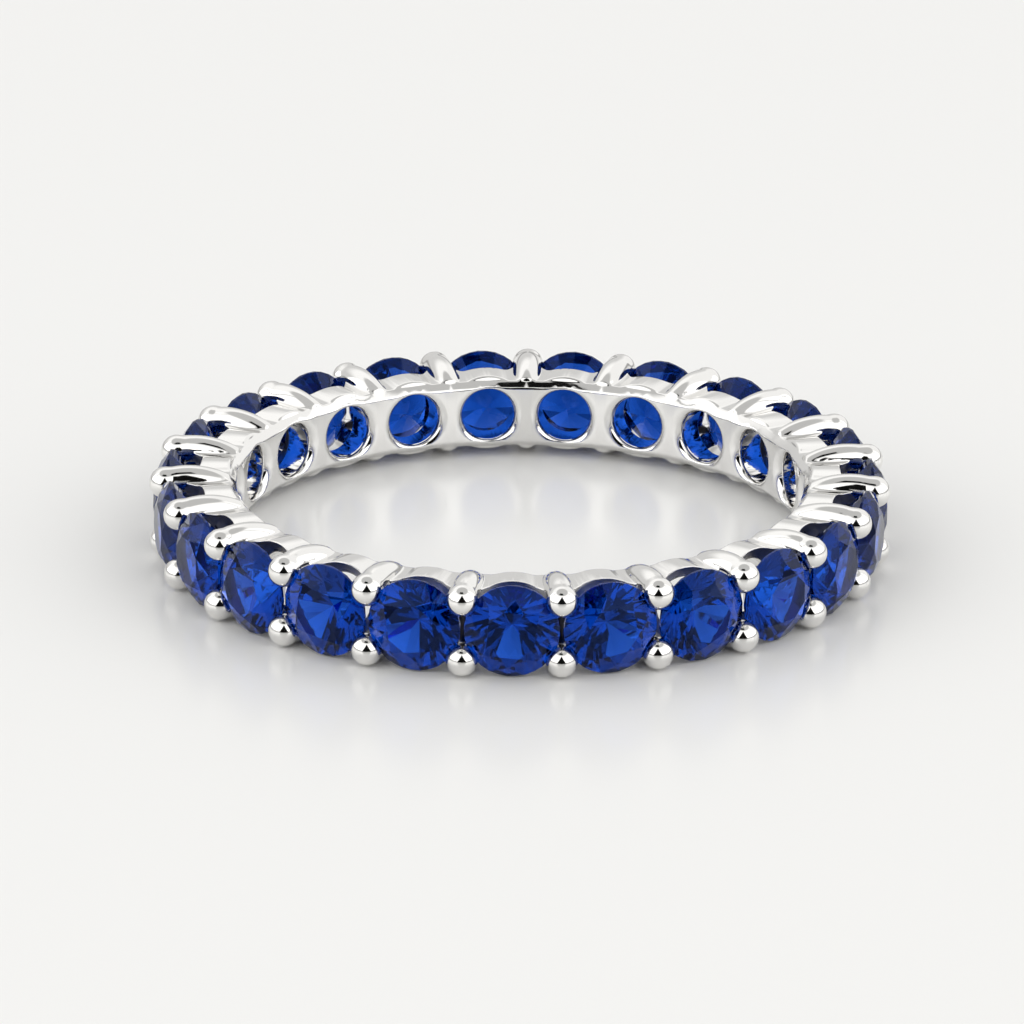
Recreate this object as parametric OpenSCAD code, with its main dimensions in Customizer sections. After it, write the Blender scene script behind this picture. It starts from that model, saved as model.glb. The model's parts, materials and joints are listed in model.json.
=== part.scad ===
// Eternity ring: round brilliant-cut sapphires all the way round, each pair of
// neighbours held by two shared beads, one at each side of the band.
// The ring lies on its side: its axis is Z and its lowest ribs touch z = 0.

/* [Finger] */
// Inner diameter of the ring
finger_d = 17; // [15:0.1:21]
// Width and height of the chamfer at each end of the finger hole
edge_chamfer = 0.19; // [0.1:0.01:0.25]

/* [Stones] */
// Diameter of each stone at its girdle
stone_d = 2.8; // [2.2:0.1:3.4]
// Least gap between the girdles of two neighbours
stone_gap = 0.05; // [0.04:0.01:0.12]
// Thickness of the girdle where the facets leave it thickest
girdle_t = 0.1; // [0.06:0.01:0.16]
// Table width, corner to corner, as a share of the stone's diameter
table_share = 0.54; // [0.5:0.01:0.62]
// Angle of the crown's kite facets to the girdle
crown_angle = 32; // [28:0.5:35]
// Angle of the pavilion's main facets to the girdle
pavilion_angle = 43; // [41:0.5:44]
// Length of the star facets, as a share of the way from table to girdle
star_share = 0.5; // [0.4:0.05:0.6]
// Length of the lower halves, as a share of the way from girdle to culet
lower_half_share = 0.77; // [0.7:0.01:0.85]
// How far each stone is turned in its seat against the stone before it, in degrees
facet_turn = 17; // [0:1:44]

/* [Band] */
// Metal and air between the finger hole and the tip of each stone
culet_cover = 0.7; // [0.6:0.05:1.2]
// How far the ribs stand past the stones at each side
edge_guard = 0.05; // [0.03:0.01:0.12]
// Height of a rib's crest over the crest of the collars beside it
collar_drop = 0.26; // [0.2:0.01:0.32]
// Height of a rib's crest over the plain shoulder between rib and collar
shoulder_drop = 0.4; // [0.36:0.01:0.46]
// Radius of the arch across the top of a collar
collar_arch_r = 1.5; // [1.3:0.1:2]
// Gap between a collar's side and the middle of the rib beside it, at the finger
collar_gap = 0.14; // [0.08:0.02:0.2]
// Width of the plain land between the finger hole's edge and the collars and ribs
edge_land = 0.05; // [0.04:0.01:0.1]
// Depth of the band's outer face under the middle of the girdle
rail_depth = 0.52; // [0.46:0.02:0.6]

/* [Prongs] */
// Width of the round ribs
rib_d = 0.84; // [0.7:0.02:0.9]
// Radius of the bend along a rib
rib_bend_r = 2.3; // [2:0.1:2.8]
// Diameter of the beads on the ribs' outer ends
bead_d = 0.96; // [0.9:0.02:1.02]
// Height of the bead centres over the middle of the girdle
bead_rise = 0.1; // [0.02:0.01:0.12]
// How far a bead reaches in over the girdle of each stone
bead_bite = 0.16; // [0.12:0.01:0.18]

/* [Seats] */
// Diameter of the round hole behind each stone
hole_d = 1.6; // [1.2:0.05:1.7]
// Width of the chamfer round that hole
hole_chamfer = 0.1; // [0.06:0.01:0.14]
// Gap between a stone and the metal that holds it
stone_clearance = 0.03; // [0.02:0.01:0.05]
// Depth of the open seat under the middle of the girdle, at the rim of its floor
seat_depth = 0.95; // [0.85:0.01:1.05]
// How much further the seat's floor falls towards its hole
seat_fall = 0.2; // [0.1:0.05:0.3]
// How much the seat narrows from the band's outer face to its floor, on radius
seat_taper = 0.25; // [0.22:0.01:0.35]

/* [Hidden] */
$fn = 64;
finger_r = finger_d / 2;
stone_r = stone_d / 2;
table_r = stone_r * table_share;
crown_h = (stone_r - table_r) * tan(crown_angle);
pavilion_h = stone_r * tan(pavilion_angle);
girdle_r = finger_r + culet_cover + pavilion_h + girdle_t / 2;

// As many stones as go round with at least the least gap between them
stone_count = floor(180 / asin((stone_d + stone_gap) / (2 * girdle_r)));
pitch = 360 / stone_count;
first_stone_angle = -90;

// Heights are measured from the middle plane of the band
half_h = stone_r + edge_guard;
collar_z = half_h - collar_drop;
shoulder_z = half_h - shoulder_drop;
edge_r = finger_r + edge_chamfer;
land_r = edge_r + edge_land;
rail_r = girdle_r - rail_depth;

rib_r = rib_d / 2;
bead_r = bead_d / 2;
bead_ring_r = girdle_r + bead_rise;
bead_side = bead_ring_r * sin(pitch / 2);
bead_z = sqrt(pow(stone_r + bead_r - bead_bite, 2) - pow(bead_side, 2));
// Centre of the bend that a rib follows, in the plane through its bead
bend_z = half_h - rib_r - rib_bend_r;
bend_x = bead_ring_r - sqrt(pow(rib_bend_r, 2) - pow(bead_z - bend_z, 2));

hole_r = hole_d / 2;
seat_r = stone_r - seat_taper;
collar_half_w = edge_r * sin(pitch / 2) - collar_gap;

// Room that cutting bodies reach past what they cut
over = 1;

function stone_name(i) = str("sapphire_", i < 10 ? "0" : "", i);
function stone_angle(i) = first_stone_angle + (i - 1) * pitch;

// Step down, or up, of a profile's corner when the profile grows outward by gap
function corner_step(angle, gap) = gap * (1 - sin(angle)) / cos(angle);

// Puts what is drawn round +Z at the origin on a stone's axis at this angle, with the
// middle of its girdle at z = 0
module on_axis(angle) {
    rotate([0, 0, angle])
        translate([girdle_r, 0, 0])
            rotate([0, 90, 0])
                children();
}

// Sleeve round the finger, with plain shoulders and a chamfer at each end
module sleeve() {
    straight_z = shoulder_z - edge_chamfer;
    rotate_extrude($fn = 180)
        polygon([
            [finger_r, -straight_z], [edge_r, -shoulder_z], [rail_r, -shoulder_z],
            [rail_r, shoulder_z], [edge_r, shoulder_z], [finger_r, straight_z]]);
}

// Collar at both sides of one stone, as a bar along the stone's axis that arches
// over and under it and that the seat is cut into
module collar() {
    start = land_r - girdle_r;
    arch_centre = collar_z - collar_arch_r;
    translate([0, 0, start])
        linear_extrude(-rail_depth - start)
            intersection() {
                square([2 * collar_z + over, 2 * collar_half_w], center = true);
                translate([arch_centre, 0]) circle(r = collar_arch_r);
                translate([-arch_centre, 0]) circle(r = collar_arch_r);
            }
}

// Round hole behind a stone, chamfered at the finger, and the open seat before it,
// as wide as the stone where it meets the band's outer face
module seat() {
    hole_start = finger_r - girdle_r;
    slope = seat_taper / (seat_depth - rail_depth);
    rotate_extrude()
        polygon([
            [0, hole_start - over], [hole_r + hole_chamfer + over, hole_start - over],
            [hole_r, hole_start + hole_chamfer], [hole_r, -seat_depth - seat_fall],
            [seat_r, -seat_depth], [seat_r + slope * seat_depth, 0], [0, 0]]);
}

// Space that one stone and its clearance take up
module stone_pocket() {
    table_z = girdle_t / 2 + crown_h;
    culet_z = -girdle_t / 2 - pavilion_h;
    bearing_r = stone_r + stone_clearance;
    rotate_extrude()
        polygon([
            [0, culet_z - stone_clearance / cos(pavilion_angle)],
            [bearing_r, -girdle_t / 2 - corner_step(pavilion_angle, stone_clearance)],
            [bearing_r, girdle_t / 2 + corner_step(crown_angle, stone_clearance)],
            [table_r + corner_step(90 - crown_angle, stone_clearance), table_z + stone_clearance],
            [0, table_z + stone_clearance]]);
}

// Round rib in the XZ plane that bends over the side of the band and ends in a bead,
// with the bearings that the stones to its left and right sit in
module prong() {
    bead_angle = asin((bead_z - bend_z) / rib_bend_r);
    inner_angle = acos((finger_r - bend_x) / rib_bend_r);
    difference() {
        union() {
            translate([bend_x, 0, bend_z])
                rotate([90, 0, 0])
                    rotate([0, 0, bead_angle])
                        rotate_extrude(angle = inner_angle - bead_angle)
                            translate([rib_bend_r, 0])
                                circle(r = rib_r);
            translate([bead_ring_r, 0, bead_z])
                sphere(r = bead_r);
        }
        on_axis(-pitch / 2) stone_pocket();
        on_axis(pitch / 2) stone_pocket();
        cylinder(r = land_r, h = half_h + over, $fn = 180);
    }
}

// The cast band: sleeve, collars, ribs and beads in one piece of metal
module band() {
    color("gainsboro")
        translate([0, 0, half_h])
            union() {
                difference() {
                    union() {
                        sleeve();
                        for (i = [1:stone_count]) on_axis(stone_angle(i)) collar();
                    }
                    for (i = [1:stone_count]) on_axis(stone_angle(i)) seat();
                }
                for (i = [1:stone_count], side = [0, 1])
                    rotate([0, 0, stone_angle(i) + pitch / 2])
                        mirror([0, 0, side])
                            prong();
            }
}

// Corners of a brilliant cut, ring by ring, with the girdle's middle at z = 0
function ring_point(radius, angle, z) = [radius * cos(angle), radius * sin(angle), z];

// Height at which the plane through three points passes over x, y
function plane_z(a, b, c, x, y) =
    let (n = cross(b - a, c - a))
    a.z - (n.x * (x - a.x) + n.y * (y - a.y)) / n.z;

// Height of the girdle's edge between two facet corners, where the facet's plane cuts it
function girdle_edge_z(inner, edge_z) =
    let (mid = ring_point(stone_r, 11.25, 0))
    plane_z(inner, ring_point(stone_r, 0, edge_z), ring_point(stone_r, 22.5, edge_z), mid.x, mid.y);

// Round brilliant: table, 8 stars, 8 kites, 16 upper halves, girdle, 16 lower halves, 8 mains
module brilliant() {
    table_z = girdle_t / 2 + crown_h;
    top_z = girdle_t / 2;
    star_r = table_r * cos(22.5) + star_share * (stone_r - table_r * cos(22.5));
    star_z = top_z + crown_h * (stone_r - star_r * cos(22.5)) / (stone_r - table_r);
    lower_r = (1 - lower_half_share) * stone_r;
    lower_z = -top_z - pavilion_h * (1 - lower_r * cos(22.5) / stone_r);
    upper_mid_z = girdle_edge_z(ring_point(star_r, 22.5, star_z), top_z);
    lower_mid_z = girdle_edge_z(ring_point(lower_r, 22.5, lower_z), -top_z);

    // First corner of each ring in the list of points
    table = 0;
    star = 8;
    top = 16;
    bottom = 48;
    lower = 80;
    culet = 88;
    points = concat(
        [for (k = [0:7]) ring_point(table_r, 45 * k, table_z)],
        [for (k = [0:7]) ring_point(star_r, 45 * k + 22.5, star_z)],
        [for (k = [0:31]) ring_point(stone_r, 11.25 * k, k % 2 == 0 ? top_z : upper_mid_z)],
        [for (k = [0:31]) ring_point(stone_r, 11.25 * k, k % 2 == 0 ? -top_z : lower_mid_z)],
        [for (k = [0:7]) ring_point(lower_r, 45 * k + 22.5, lower_z)],
        [[0, 0, -top_z - pavilion_h]]);
    faces = concat(
        [[for (k = [7:-1:0]) table + k]],
        [for (k = [0:7]) let (n = (k + 1) % 8) each [
            [table + k, table + n, star + k],
            [table + n, star + n, top + 4 * n, star + k],
            [star + k, top + 4 * k + 2, top + 4 * k + 1, top + 4 * k],
            [star + k, top + 4 * n, top + 4 * k + 3, top + 4 * k + 2],
            [lower + k, bottom + 4 * k, bottom + 4 * k + 1, bottom + 4 * k + 2],
            [lower + k, bottom + 4 * k + 2, bottom + 4 * k + 3, bottom + 4 * n],
            [culet, lower + k, bottom + 4 * n, lower + n]]],
        [for (k = [0:31]) let (n = (k + 1) % 32)
            [top + k, top + n, bottom + n, bottom + k]]);
    polyhedron(points, faces, convexity = 2);
}

// Stone i, counted from the front and turned in its seat
module sapphire(i) {
    color([0.06, 0.16, 0.62])
        translate([0, 0, half_h])
            on_axis(stone_angle(i))
                rotate([0, 0, (facet_turn * i) % 45])
                    brilliant();
}

band();
for (i = [1:stone_count])
    sapphire(i);
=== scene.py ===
"""Looks of the eternity ring: a cast band of polished white metal with brilliant-cut sapphires,
lying on a pale floor in soft studio light."""
import json
import math

import bpy
import numpy as np
from mathutils import Matrix, Vector


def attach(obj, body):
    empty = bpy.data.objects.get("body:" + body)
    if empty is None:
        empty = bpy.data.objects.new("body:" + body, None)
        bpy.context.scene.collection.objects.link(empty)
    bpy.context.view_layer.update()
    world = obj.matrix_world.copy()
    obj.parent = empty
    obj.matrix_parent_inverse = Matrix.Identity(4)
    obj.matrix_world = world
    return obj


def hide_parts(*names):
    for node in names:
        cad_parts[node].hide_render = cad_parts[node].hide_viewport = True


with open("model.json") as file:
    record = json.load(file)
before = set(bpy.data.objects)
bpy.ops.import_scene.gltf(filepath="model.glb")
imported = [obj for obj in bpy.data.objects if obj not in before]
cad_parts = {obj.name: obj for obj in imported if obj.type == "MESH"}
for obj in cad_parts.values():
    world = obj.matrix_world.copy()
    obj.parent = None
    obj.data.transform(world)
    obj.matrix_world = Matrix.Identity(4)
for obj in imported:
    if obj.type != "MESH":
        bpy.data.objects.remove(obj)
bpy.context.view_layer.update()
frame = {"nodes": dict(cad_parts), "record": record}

MM = 0.001

# The ring's main sizes in millimetres, from the frame. The band's heights are from its middle plane.
bore = frame["record"]["mounts"][0]
FINGER_R = bore["dims"]["r_mm"]
MIDDLE_Z = bore["pos_m"][2] / MM
STONES = sorted(name for name in frame["nodes"] if name.startswith("sapphire"))
PITCH = 2 * math.pi / len(STONES)
FIRST_STONE_ANGLE = -math.pi / 2

# Stones
STONE_R = 1.4
GIRDLE_HALF = 0.05
CROWN_ANGLE = math.radians(32)
PAVILION_ANGLE = math.radians(43)
CULET_COVER = 0.7
GIRDLE_R = FINGER_R + CULET_COVER + STONE_R * math.tan(PAVILION_ANGLE) + GIRDLE_HALF

# Sleeve and collars
EDGE_CHAMFER = 0.19
EDGE_LAND = 0.02
SHOULDER_DROP = 0.4
COLLAR_DROP = 0.26
RAIL_DEPTH = 0.52
SHOULDER_Z = MIDDLE_Z - SHOULDER_DROP
COLLAR_Z = MIDDLE_Z - COLLAR_DROP
EDGE_R = FINGER_R + EDGE_CHAMFER
RAIL_R = GIRDLE_R - RAIL_DEPTH
COLLAR_START_R = EDGE_R + EDGE_LAND
COLLAR_LEAN = 0.35
ARCH_R = 1.6
ARCH_AT_R = 9.3

# Ribs and beads
RIB_R = 0.42
RIB_BEND_R = 2.3
BEAD_R = 0.48
BEAD_RISE = 0.1
BEAD_BITE = 0.16
BEAD_RING_R = GIRDLE_R + BEAD_RISE
BEAD_SIDE = BEAD_RING_R * math.sin(PITCH / 2)
BEAD_Z = math.sqrt((STONE_R + BEAD_R - BEAD_BITE) ** 2 - BEAD_SIDE ** 2)
BEND_Z = MIDDLE_Z - RIB_R - RIB_BEND_R
BEND_X = BEAD_RING_R - math.sqrt(RIB_BEND_R ** 2 - (BEAD_Z - BEND_Z) ** 2)

# Seats and the bearings that hold the stones
HOLE_R = 0.8
HOLE_CHAMFER = 0.1
SEAT_DEPTH = 0.95
SEAT_FALL = 0.2
SEAT_TAPER = 0.25
SEAT_R = STONE_R - SEAT_TAPER
STONE_GAP = 0.02

# Widths over which the casting's corners are polished round
SHELL_ROUND = 0.04
COLLAR_ROUND = 0.09
HOLE_ROUND = 0.09
SEAT_ROUND = 0.08
JOIN_ROUND = 0.05
BEAD_ROUND = 0.06

# Dull finish of the seats and of the slits between the stones, darkened there by painted shade, and the
# width over which it fades
CUT_EDGE = 0.04
SEAT_DULL_AND_SHADE = 0.5

# How deep under the band's outer face a slit's dull finish and painted shade reach, and how far below the
# beads' centres they end
SLIT_DEPTH = 0.9
SLIT_DROP = 0.3
SLIT_HALF = 0.45
SLIT_R = RAIL_R - SLIT_DEPTH
SLIT_TOP = BEAD_Z - SLIT_DROP

# Net of the band's surface, with some room round the band
NET_STEP = 0.03
NET_ROOM = 0.1
NET_LOW_R = FINGER_R - NET_ROOM
NET_HIGH_R = BEAD_RING_R + BEAD_R + NET_ROOM
NET_HIGH_Z = MIDDLE_Z + NET_ROOM

# How the net is settled on the surface, thinned and joined
SLOPE_STEP = 0.0001
SETTLE_ROUNDS = 4
LEAST_SLOPE = 0.1
QUARTER_TRIANGLES = 2100
WELD = 0.001

# Metal. The grain of a noise is in 1/m, and the distance of a bump in metres.
METAL_COLOR = (0.84, 0.832, 0.815)
METAL_ROUGHNESS = (0.04, 0.1)
POLISH_GRAIN = 3500
POLISH_DETAIL = 4
WAVE_GRAIN = 900
WAVE_STRENGTH = 0.015
WAVE_DISTANCE = 0.0001
# Near-black colour painted into the slits and, at half strength, into the seats: painted shade in these
# recesses
CUT_SHADE_COLOR = (0.12, 0.11, 0.1)
CUT_ROUGHNESS = 0.7
MARK_GRAIN = 12000
MARK_DETAIL = 6
MARK_STRENGTH = 0.6
MARK_DISTANCE = 0.00003

# Sapphire
STONE_TINT = (0.04, 0.16, 0.86)
STONE_GLOSS = (0.1, 0.2, 0.7)
STONE_COLOR = (0.0, 0.5, 0.66)
STONE_DENSITY = 1000
STONE_IOR = 1.77
STONE_ROUGHNESS = (0.0, 0.006)
STONE_GRAIN = 5000

# Floor
FLOOR_COLOR = (0.93, 0.93, 0.92)
FLOOR_ROUGHNESS = 0.2
FLOOR_GLOSS = 0.25
FLOOR_SIZE = 6.0

# Light: how bright each part of the studio is, and where it is and how far its edges fade, in degrees
LIGHT_COLOR = (1.0, 0.995, 0.985)
DARK = 0.005
BACK_LOW_LIGHT = 0.72
BACK_HIGH_LIGHT = 1.15
BACK_LOW_TOP = 30
BACK_FADE = 22
BACK_RIGHT_LIGHT = 1.05
BACK_RIGHT_START = 0
BACK_RIGHT_START_FADE = 1
BACK_RIGHT_END = 168
BACK_RIGHT_END_FADE = 14
PANEL_LOW_LIGHT = 1.9
PANEL_HIGH_LIGHT = 1.25
PANEL_END = 115
PANEL_FADE = 3
CAP_LIGHT = 0.6
CAP_LOW = 58
CAP_FADE = 7
SEAM_LIGHT = 0.4
SEAM_AZIMUTH = 92
SEAM_HALF = 1.25
SEAM_FADE = 1
SKIRTING_TOP = 6
SKIRTING_FADE = 4
GAP_LOW_HALF = 33
GAP_HIGH_HALF = 3
GAP_TOP = 51
GAP_FADE = 1.5
BOOM_LOW = 63
BOOM_HIGH = 77
BOOM_SIDE_FADE = 1
BOOM_LEFT = -44
BOOM_RIGHT = 20
BOOM_END_FADE = 2

# Camera, with its aim in millimetres to the right of the ring's centre and above it in the picture
CAMERA_AZIMUTH = math.radians(1.19)
CAMERA_ELEVATION = math.radians(19.77)
CAMERA_ROLL = math.radians(0.36)
CAMERA_DISTANCE = 0.3
CAMERA_LENS = 351.0
CAMERA_SENSOR = 36
CAMERA_CLIP = (0.01, 20)
CAMERA_AIM = (-0.24, -0.12)


def soft_max(a, b, width):
    """The larger of two distances, with the corner between them rounded over this width."""
    near = np.maximum(width - np.abs(a - b), 0) / width
    return np.maximum(a, b) + near * near * width / 4


def soft_min(a, b, width):
    """The smaller of two distances, with the corner between them filled over this width."""
    return -soft_max(-a, -b, width)


def seen_along(x, y, angle):
    """Distance along a radial line at this angle, and distance to its side."""
    return x * math.cos(angle) + y * math.sin(angle), y * math.cos(angle) - x * math.sin(angle)


def sleeve(r, z):
    """Plain ring round the finger, with a chamfer at each end."""
    chamfer = (z - (SHOULDER_Z - EDGE_CHAMFER) - (r - FINGER_R)) / math.sqrt(2)
    inner = soft_max(FINGER_R - r, chamfer, SHELL_ROUND)
    return soft_max(soft_max(inner, z - SHOULDER_Z, SHELL_ROUND), r - RAIL_R, SHELL_ROUND)


def collars(r, turn, z):
    """Arches over the sleeve, one for each stone, that lean back from the finger."""
    side = turn * ARCH_AT_R
    arch = COLLAR_Z - ARCH_R + np.sqrt(ARCH_R ** 2 - side ** 2)
    lean = COLLAR_LEAN * np.maximum(z - SHOULDER_Z, 0)
    start = (COLLAR_START_R - r + lean) / math.hypot(1, COLLAR_LEAN)
    return soft_max(soft_max(z - arch, start, COLLAR_ROUND), r - RAIL_R, SHELL_ROUND)


def seat(x, y, z, angle):
    """Hole behind a stone and the cone-shaped seat in front of it."""
    along, side = seen_along(x, y, angle)
    r = np.hypot(side, z)
    floor = GIRDLE_R - SEAT_DEPTH - SEAT_FALL * (SEAT_R - r) / (SEAT_R - HOLE_R)
    slope = SEAT_TAPER / (SEAT_DEPTH - (GIRDLE_R - RAIL_R))
    wall = r - SEAT_R - slope * (along - GIRDLE_R + SEAT_DEPTH)
    cone = soft_max(wall / math.hypot(1, slope), floor - along, SHELL_ROUND)
    lip = (r - HOLE_R - HOLE_CHAMFER + along - FINGER_R) / math.sqrt(2)
    return soft_min(soft_min(r - HOLE_R, lip, HOLE_ROUND), cone, SHELL_ROUND)


def stone_space(x, y, z, angle):
    """Space that a stone takes up, with the gap round it."""
    along, side = seen_along(x, y, angle)
    r = np.hypot(side, z) - STONE_R
    up = along - GIRDLE_R
    crown = (up - GIRDLE_HALF) * math.cos(CROWN_ANGLE) + r * math.sin(CROWN_ANGLE)
    pavilion = r * math.sin(PAVILION_ANGLE) - (up + GIRDLE_HALF) * math.cos(PAVILION_ANGLE)
    return np.maximum(np.maximum(crown, pavilion), r) - STONE_GAP


def prong(x, y, z):
    """Rib that bends over the side of the band and ends in a bead."""
    along, side = seen_along(x, y, PITCH / 2)
    turned = np.arctan2(z - BEND_Z, along - BEND_X)
    bead_turn = math.atan2(BEAD_Z - BEND_Z, BEAD_RING_R - BEND_X)
    bend = np.hypot(along - BEND_X, z - BEND_Z) - RIB_BEND_R
    to_bead = np.sqrt((along - BEAD_RING_R) ** 2 + (z - BEAD_Z) ** 2 + side ** 2)
    rib = np.where(turned > bead_turn, np.hypot(bend, side), to_bead) - RIB_R
    return soft_min(rib, to_bead - BEAD_R, BEAD_ROUND)


def metal(x, y, z):
    """Signed distance, about true, to the casting between a stone's axis and the next rib."""
    z = np.abs(z)
    r = np.hypot(x, y)
    turn = np.abs(np.arctan2(y, x))
    shell = soft_min(sleeve(r, z), collars(r, np.minimum(turn, PITCH - turn), z), SHELL_ROUND)
    holder = prong(x, y, z)
    for angle in (0, PITCH):
        shell = soft_max(shell, -seat(x, y, z, angle), SEAT_ROUND)
        holder = soft_max(holder, -stone_space(x, y, z, angle), SHELL_ROUND)
    holder = soft_max(holder, EDGE_R - r, COLLAR_ROUND)
    return soft_min(shell, holder, JOIN_ROUND)


def slope_of(field, points):
    """Gradient of a field at these points."""
    rows = []
    for axis in range(3):
        shift = np.zeros(3)
        shift[axis] = SLOPE_STEP
        rise = field(*(points + shift).T) - field(*(points - shift).T)
        rows.append(rise / (2 * SLOPE_STEP))
    return np.stack(rows, -1)


def settle(points, on_stone, on_rib, on_middle):
    """Moves points onto the casting's surface, those on a mirror plane within it."""
    across = np.array([-math.sin(PITCH / 2), math.cos(PITCH / 2), 0])
    for _ in range(SETTLE_ROUNDS):
        slope = slope_of(metal, points)
        steepness = np.maximum((slope ** 2).sum(1), LEAST_SLOPE)
        move = -slope * (metal(*points.T) / steepness)[:, None]
        reach = np.maximum(np.abs(move).max(1, keepdims=True) / (NET_STEP / 2), 1)
        points = points + move / reach
        points[on_stone, 1] = 0
        points[on_rib] -= np.outer(points[on_rib] @ across, across)
        points[on_middle, 2] = 0
    return points


def crossings(value, places, axis):
    """Which of the net's edges along an axis cross the surface, and the points where they do."""
    low = tuple(slice(0, -1) if d == axis else slice(None) for d in range(3))
    high = tuple(slice(1, None) if d == axis else slice(None) for d in range(3))
    crossed = (value[low] < 0) != (value[high] < 0)
    share = np.where(crossed, value[low] / np.where(crossed, value[low] - value[high], 1), 0)
    return crossed, places[low] + share[..., None] * (places[high] - places[low])


def faces_round(crossed, value, index, axis):
    """One face round each crossed edge that has four cells about it, but none in a mirror plane."""
    others = [d for d in range(3) if d != axis]
    inner = tuple(slice(None) if d == axis else slice(1, -1) for d in range(3))
    at = np.argwhere(crossed[inner])
    at[:, others] += 1
    if axis > 0:
        at = at[(at[:, axis] > 0) & ((axis == 2) | (at[:, axis] < index.shape[axis] - 1))]
    around = []
    for first, second in ((-1, -1), (0, -1), (0, 0), (-1, 0)):
        cell = at.copy()
        cell[:, others[0]] += first
        cell[:, others[1]] += second
        around.append(index[tuple(cell.T)])
    faces = np.stack(around, 1)
    outward = value[tuple(at.T)] < 0
    if axis == 1:
        outward = ~outward
    faces[~outward] = faces[~outward, ::-1]
    return faces


def quarter_net():
    """Surface net of the casting from a stone's axis to the next rib and from the middle plane up."""
    turns = round(PITCH / 2 * GIRDLE_R / NET_STEP)
    turn_step = PITCH / 2 / turns

    # The cells at a mirror plane have half of their width on each side of it
    lines = (np.arange(NET_LOW_R, NET_HIGH_R, NET_STEP),
             (np.arange(turns + 2) - 0.5) * turn_step,
             np.arange(-0.5, NET_HIGH_Z / NET_STEP) * NET_STEP)
    places = np.stack(np.meshgrid(*lines, indexing="ij"), -1)
    r, turn, z = np.moveaxis(places, -1, 0)
    value = metal(r * np.cos(turn), r * np.sin(turn), z)
    cells = np.array(value.shape) - 1

    # Each cell's point is the mean of the crossings on its edges
    total = np.zeros((*cells, 3))
    count = np.zeros(cells)
    faces = []
    index = np.arange(cells.prod()).reshape(cells)
    for axis in range(3):
        crossed, point = crossings(value, places, axis)
        others = [d for d in range(3) if d != axis]
        for first in (0, 1):
            for second in (0, 1):
                begin = np.zeros(3, int)
                begin[others] = first, second
                edge = tuple(slice(b, b + c) for b, c in zip(begin, cells))
                total += point[edge] * crossed[edge][..., None]
                count += crossed[edge]
        faces.append(faces_round(crossed, value, index, axis))

    faces = np.concatenate(faces)
    used, faces = np.unique(faces, return_inverse=True)
    faces = faces.reshape(-1, 4)
    where = np.stack(np.unravel_index(used, cells), 1)
    r, turn, z = (total.reshape(-1, 3)[used] / count.reshape(-1)[used, None]).T
    points = np.stack([r * np.cos(turn), r * np.sin(turn), z], 1)
    planes = (where[:, 1] == 0, where[:, 1] == cells[1] - 1, where[:, 2] == 0)
    return settle(points, *planes), faces, planes


def mesh_object(name, points, faces):
    """New object with this mesh."""
    mesh = bpy.data.meshes.new(name)
    mesh.from_pydata(points.tolist(), [], faces.tolist())
    thing = bpy.data.objects.new(name, mesh)
    bpy.context.scene.collection.objects.link(thing)
    return thing


def thinned(points, faces, wanted):
    """The same surface in fewer triangles, small ones only where it bends."""
    thing = mesh_object("net", points, faces)
    modifier = thing.modifiers.new("thin", "DECIMATE")
    modifier.ratio = wanted / (2 * len(faces))
    mesh = thing.evaluated_get(bpy.context.evaluated_depsgraph_get()).to_mesh()
    mesh.calc_loop_triangles()
    corners = np.zeros(len(mesh.loop_triangles) * 3, int)
    mesh.loop_triangles.foreach_get("vertices", corners)
    flat = np.zeros(len(mesh.vertices) * 3)
    mesh.vertices.foreach_get("co", flat)
    bpy.data.objects.remove(thing)
    return flat.reshape(-1, 3), corners.reshape(-1, 3)


def quarter_surface():
    """Quarter of one setting: the net thinned, with its rims back on the mirror planes."""
    points, faces, planes = quarter_net()
    on_stone, on_rib, on_middle = planes
    fixed = points[(on_middle & on_rib) | (on_middle & on_stone)]
    points, triangles = thinned(points, faces, QUARTER_TRIANGLES)

    sides = np.sort(np.concatenate([triangles[:, [0, 1]], triangles[:, [1, 2]], triangles[:, [2, 0]]]), 1)
    pairs, uses = np.unique(sides, axis=0, return_counts=True)
    rim = np.unique(pairs[uses == 1])
    for corner in fixed:
        nearest = rim[np.argmin(((points[rim] - corner) ** 2).sum(1))]
        points[nearest] = corner
    on_rim = np.zeros(len(points), bool)
    on_rim[rim] = True
    _, side = seen_along(points[:, 0], points[:, 1], PITCH / 2)
    reach = NET_STEP / 2
    planes = [on_rim & (np.abs(d) < reach) for d in (points[:, 1], side, points[:, 2])]
    return settle(points, *planes), triangles


def whole_ring(points, triangles):
    """All copies of the quarter, mirrored and turned round the ring."""
    all_points = []
    all_faces = []
    for number in range(len(STONES)):
        angle = FIRST_STONE_ANGLE + number * PITCH
        for side in (1, -1):
            for up in (1, -1):
                x, y, z = (points * [1, side, up]).T
                turned = np.stack([x * math.cos(angle) - y * math.sin(angle),
                                   x * math.sin(angle) + y * math.cos(angle), z], 1)
                order = triangles if side == up else triangles[:, ::-1]
                all_faces.append(order + len(points) * len(all_points))
                all_points.append(turned)
    return np.concatenate(all_points), np.concatenate(all_faces)


def from_stone(x, y):
    """Distance from the ring's axis, and angle to the nearest stone's."""
    turn = np.mod(np.arctan2(y, x) - FIRST_STONE_ANGLE, PITCH)
    return np.hypot(x, y), np.minimum(turn, PITCH - turn)


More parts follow.
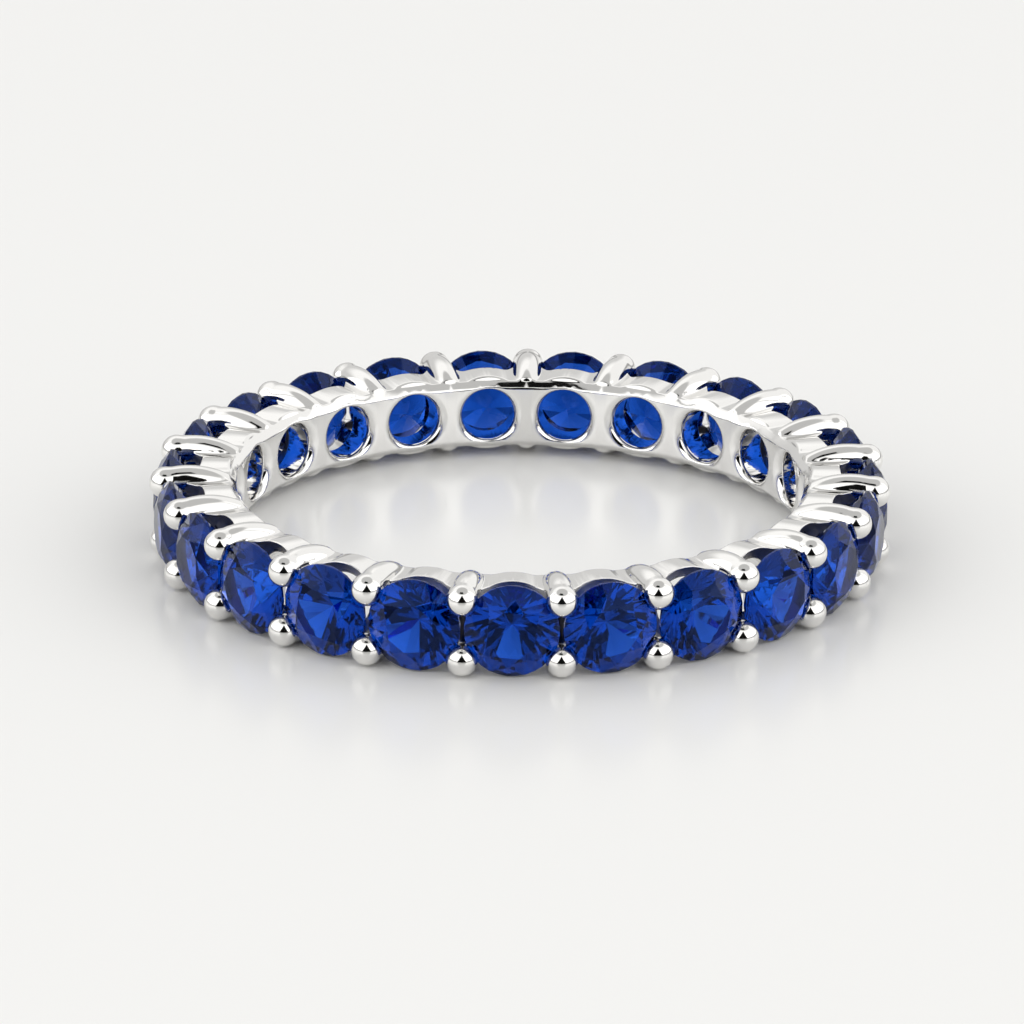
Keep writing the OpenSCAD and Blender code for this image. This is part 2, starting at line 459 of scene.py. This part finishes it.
def ring_dull_and_shade(x, y, z):
    """How dull the casting is and how dark its painted shade is: 1 between the stones, less in the seats
    and 0 where it is polished.
    """
    r, turn = from_stone(x, y)
    z = np.abs(z)
    uncut = np.minimum(sleeve(r, z), collars(r, turn, z))
    cut = -seat(r * np.cos(turn), r * np.sin(turn), z, 0)
    in_seat = np.clip((cut - uncut) / CUT_EDGE, 0, 1)
    in_seat *= np.clip((r - GIRDLE_R + SEAT_DEPTH + SEAT_FALL) / CUT_EDGE, 0, 1)
    off_rib = (PITCH / 2 - turn) * r
    slit = np.clip((r - SLIT_R) / CUT_EDGE, 0, 1) * np.clip((SLIT_TOP - z) / CUT_EDGE, 0, 1)
    slit *= np.clip((SLIT_HALF - off_rib) / CUT_EDGE, 0, 1) * np.clip((GIRDLE_R - r) / CUT_EDGE, 0, 1)
    return np.maximum(SEAT_DULL_AND_SHADE * in_seat, slit)


def ring_metal(x, y, z):
    """Signed distance to the casting anywhere round the ring."""
    r, turn = from_stone(x, y)
    return metal(r * np.cos(turn), r * np.sin(turn), z)


def welded(points, triangles):
    """Joins the points that lie on each other, and leaves out the triangles that this closes up."""
    keys = np.round(points / WELD).astype(np.int64)
    _, first, same = np.unique(keys, axis=0, return_index=True, return_inverse=True)
    triangles = same.reshape(-1)[triangles]
    whole = (triangles[:, 0] != triangles[:, 1]) & (triangles[:, 1] != triangles[:, 2])
    whole &= triangles[:, 2] != triangles[:, 0]
    return points[first], triangles[whole]


def make_band():
    """The casting as one smooth mesh, which stands for the band."""
    points, triangles = welded(*whole_ring(*quarter_surface()))
    slope = slope_of(ring_metal, points)
    normals = slope / np.linalg.norm(slope, axis=1, keepdims=True)
    thing = mesh_object("cast_band", (points + [0, 0, MIDDLE_Z]) * MM, triangles)
    thing.data.shade_smooth()
    thing.data.normals_split_custom_set_from_vertices(normals.tolist())
    # The cut attribute carries the dull finish of the seats and slits and their painted shade
    cut = thing.data.attributes.new("cut", "FLOAT", "POINT")
    cut.data.foreach_set("value", ring_dull_and_shade(*points.T))
    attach(thing, "root")
    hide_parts("band")
    return thing


def nodes_of(material):
    """Cleared node tree of a material or world, and its output node."""
    material.use_nodes = True
    tree = material.node_tree
    tree.nodes.clear()
    kind = "ShaderNodeOutputWorld" if isinstance(material, bpy.types.World) else "ShaderNodeOutputMaterial"
    return tree, tree.nodes.new(kind)


def fill(tree, socket, value):
    """Sets a node's input to a value, or links it to the output of another node."""
    if isinstance(value, bpy.types.NodeSocket):
        tree.links.new(value, socket)
    else:
        socket.default_value = value


def add(tree, kind, inputs=None, **settings):
    """New node with these inputs and settings."""
    node = tree.nodes.new("ShaderNode" + kind)
    for name, value in settings.items():
        setattr(node, name, value)
    for name, value in (inputs or {}).items():
        fill(tree, next(s for s in node.inputs if s.name == name and s.enabled), value)
    return node


def calculated(tree, operation, *values):
    """Result of a sum with values or other nodes' outputs."""
    node = add(tree, "Math", operation=operation)
    for socket, value in zip(node.inputs, values):
        fill(tree, socket, value)
    return node.outputs[0]


def noise(tree, scale, detail=2.0):
    """Noise over the object, with its grains this many to the metre."""
    place = add(tree, "TexCoord").outputs["Object"]
    return add(tree, "TexNoise", {"Vector": place, "Scale": scale, "Detail": detail}).outputs["Fac"]


def spread(tree, value, low, high):
    """A value from 0 to 1 turned into one from low to high."""
    return add(tree, "MapRange", {"Value": value, "To Min": low, "To Max": high}).outputs["Result"]


def metal_finish():
    """White gold: a mirror polish with the faint unevenness that polishing leaves, and dull tool marks in
    the seats and between the stones, which are also darkened there by painted shade."""
    material = bpy.data.materials.new("white_gold")
    tree, output = nodes_of(material)
    cut = add(tree, "Attribute", attribute_name="cut").outputs["Fac"]
    # Seats and slits are mixed towards a near-black colour: painted shade in the recesses
    colors = {"Factor": cut, "A": (*METAL_COLOR, 1), "B": (*CUT_SHADE_COLOR, 1)}
    color = add(tree, "Mix", colors, data_type="RGBA")
    polish = spread(tree, noise(tree, POLISH_GRAIN, POLISH_DETAIL), *METAL_ROUGHNESS)
    roughness = add(tree, "Mix", {"Factor": cut, "A": polish, "B": CUT_ROUGHNESS}, data_type="FLOAT")
    waves = add(tree, "Bump", {
        "Height": noise(tree, WAVE_GRAIN),
        "Strength": WAVE_STRENGTH,
        "Distance": WAVE_DISTANCE,
    })
    marks = add(tree, "Bump", {
        "Height": noise(tree, MARK_GRAIN, MARK_DETAIL),
        "Strength": calculated(tree, "MULTIPLY", cut, MARK_STRENGTH),
        "Distance": MARK_DISTANCE,
        "Normal": waves.outputs["Normal"],
    })
    shader = add(tree, "BsdfPrincipled", {
        "Base Color": color.outputs["Result"],
        "Metallic": 1.0,
        "Roughness": roughness.outputs["Result"],
        "Normal": marks.outputs["Normal"],
    })
    tree.links.new(shader.outputs["BSDF"], output.inputs["Surface"])
    return material


def sapphire():
    """Clear corundum that takes up all but blue light on its way through."""
    material = bpy.data.materials.new("sapphire")
    tree, output = nodes_of(material)
    shader = add(tree, "BsdfPrincipled", {
        "Base Color": (*STONE_TINT, 1),
        "Roughness": spread(tree, noise(tree, STONE_GRAIN), *STONE_ROUGHNESS),
        "Specular Tint": (*STONE_GLOSS, 1),
        "IOR": STONE_IOR,
        "Transmission Weight": 1.0,
    })
    inside = add(tree, "VolumeAbsorption", {"Color": (*STONE_COLOR, 1), "Density": STONE_DENSITY})
    tree.links.new(shader.outputs["BSDF"], output.inputs["Surface"])
    tree.links.new(inside.outputs["Volume"], output.inputs["Volume"])
    return material


def make_floor():
    """Plain pale floor under the ring."""
    half = FLOOR_SIZE / 2
    corners = np.array([[-half, -half, 0], [half, -half, 0], [half, half, 0], [-half, half, 0]])
    floor = mesh_object("floor", corners, np.array([[0, 1, 2, 3]]))
    material = bpy.data.materials.new("floor")
    tree, output = nodes_of(material)
    shader = add(tree, "BsdfPrincipled", {
        "Base Color": (*FLOOR_COLOR, 1),
        "Roughness": FLOOR_ROUGHNESS,
        "Specular IOR Level": FLOOR_GLOSS,
    })
    tree.links.new(shader.outputs["BSDF"], output.inputs["Surface"])
    floor.data.materials.append(material)


def make_light():
    """Soft light from all round: a wall behind, brighter panels on the camera's side with a thin seam in
    each, a grey skirting all round the floor and a grey cap overhead. The two dark things that the polished
    metal shows are the camera's gap, which narrows upwards, and a boom in the cap."""
    world = bpy.data.worlds.new("studio")
    bpy.context.scene.world = world
    tree, output = nodes_of(world)

    def calc(operation, *values):
        return calculated(tree, operation, *values)

    def above(value, edge, fade):
        """0 below an edge and 1 above it, with the change spread over this width."""
        ends = {"From Min": edge - fade / 2, "From Max": edge + fade / 2}
        node = add(tree, "MapRange", {"Value": value, **ends}, interpolation_type="SMOOTHSTEP")
        return node.outputs["Result"]

    def below(value, edge, fade):
        """1 below an edge and 0 above it."""
        return calc("SUBTRACT", 1, above(value, edge, fade))

    def all_of(*shares):
        """Share in which all of these hold: their product."""
        product = shares[0]
        for share in shares[1:]:
            product = calc("MULTIPLY", product, share)
        return product

    def mixed(outside, inside, share):
        """One brightness turned into another by a share."""
        node = add(tree, "Mix", {"Factor": share, "A": outside, "B": inside}, data_type="FLOAT")
        return node.outputs["Result"]

    # Azimuth 0 is towards the camera, and it grows to the right
    direction = add(tree, "SeparateXYZ", {"Vector": add(tree, "TexCoord").outputs["Generated"]})
    x, y, z = direction.outputs
    azimuth = calc("MULTIPLY", calc("ARCTAN2", x, calc("MULTIPLY", y, -1)), 180 / math.pi)
    elevation = calc("MULTIPLY", calc("ARCSINE", z), 180 / math.pi)
    off_camera = calc("ABSOLUTE", azimuth)

    # Wall behind the ring, with its own brightness to the right
    light = mixed(BACK_LOW_LIGHT, BACK_HIGH_LIGHT, above(elevation, BACK_LOW_TOP, BACK_FADE))
    right = all_of(above(azimuth, BACK_RIGHT_START, BACK_RIGHT_START_FADE),
                   below(azimuth, BACK_RIGHT_END, BACK_RIGHT_END_FADE))
    light = mixed(light, BACK_RIGHT_LIGHT, right)

    # Panels, which fade from the floor up to the cap
    panel_light = mixed(PANEL_LOW_LIGHT, PANEL_HIGH_LIGHT, above(elevation, CAP_LOW / 2, CAP_LOW))
    light = mixed(light, panel_light, below(off_camera, PANEL_END, PANEL_FADE))

    # Seams, skirting and cap
    off_seam = calc("ABSOLUTE", calc("SUBTRACT", off_camera, SEAM_AZIMUTH))
    light = mixed(light, SEAM_LIGHT, below(off_seam, SEAM_HALF, SEAM_FADE))
    light = mixed(light, SEAM_LIGHT, below(elevation, SKIRTING_TOP, SKIRTING_FADE))
    light = mixed(light, CAP_LIGHT, above(elevation, CAP_LOW, CAP_FADE))

    # The camera's gap, and the boom
    narrowing = (GAP_LOW_HALF - GAP_HIGH_HALF) / GAP_TOP
    half = calc("SUBTRACT", GAP_LOW_HALF, calc("MULTIPLY", elevation, narrowing))
    past_gap = calc("SUBTRACT", off_camera, half)
    gap = all_of(below(past_gap, 0, GAP_FADE), below(elevation, GAP_TOP, GAP_FADE))
    light = mixed(light, DARK, gap)
    boom = all_of(above(elevation, BOOM_LOW, BOOM_SIDE_FADE), below(elevation, BOOM_HIGH, BOOM_SIDE_FADE),
                  above(azimuth, BOOM_LEFT, BOOM_END_FADE), below(azimuth, BOOM_RIGHT, BOOM_END_FADE))
    light = mixed(light, DARK, boom)
    shader = add(tree, "Background", {"Color": (*LIGHT_COLOR, 1), "Strength": light})
    tree.links.new(shader.outputs["Background"], output.inputs["Surface"])


def make_camera():
    """Camera at the photograph's angle to the ring."""
    camera = bpy.data.objects.new("camera", bpy.data.cameras.new("camera"))
    bpy.context.scene.collection.objects.link(camera)
    back = Vector((math.sin(CAMERA_AZIMUTH) * math.cos(CAMERA_ELEVATION),
                   -math.cos(CAMERA_AZIMUTH) * math.cos(CAMERA_ELEVATION),
                   math.sin(CAMERA_ELEVATION)))
    turn = back.to_track_quat("Z", "Y").to_matrix() @ Matrix.Rotation(CAMERA_ROLL, 3, "Z")
    aim = turn @ Vector((*CAMERA_AIM, 0)) * MM + Vector((0, 0, MIDDLE_Z * MM))
    camera.matrix_world = Matrix.Translation(aim + back * CAMERA_DISTANCE) @ turn.to_4x4()
    camera.data.lens = CAMERA_LENS
    camera.data.sensor_width = CAMERA_SENSOR
    camera.data.clip_start, camera.data.clip_end = CAMERA_CLIP
    bpy.context.scene.camera = camera


band = make_band()
band.data.materials.append(metal_finish())
stone_material = sapphire()
for name in STONES:
    stone = frame["nodes"][name]
    stone.data.materials.clear()
    stone.data.materials.append(stone_material)
make_floor()
make_light()
make_camera()

# Light may cross many facets on its way, but the stones throw no coloured light on the floor
scene = bpy.context.scene
scene.view_settings.view_transform = "Standard"
scene.cycles.max_bounces = 24
scene.cycles.transmission_bounces = 20
scene.cycles.glossy_bounces = 12
scene.cycles.diffuse_bounces = 4
scene.cycles.caustics_refractive = False
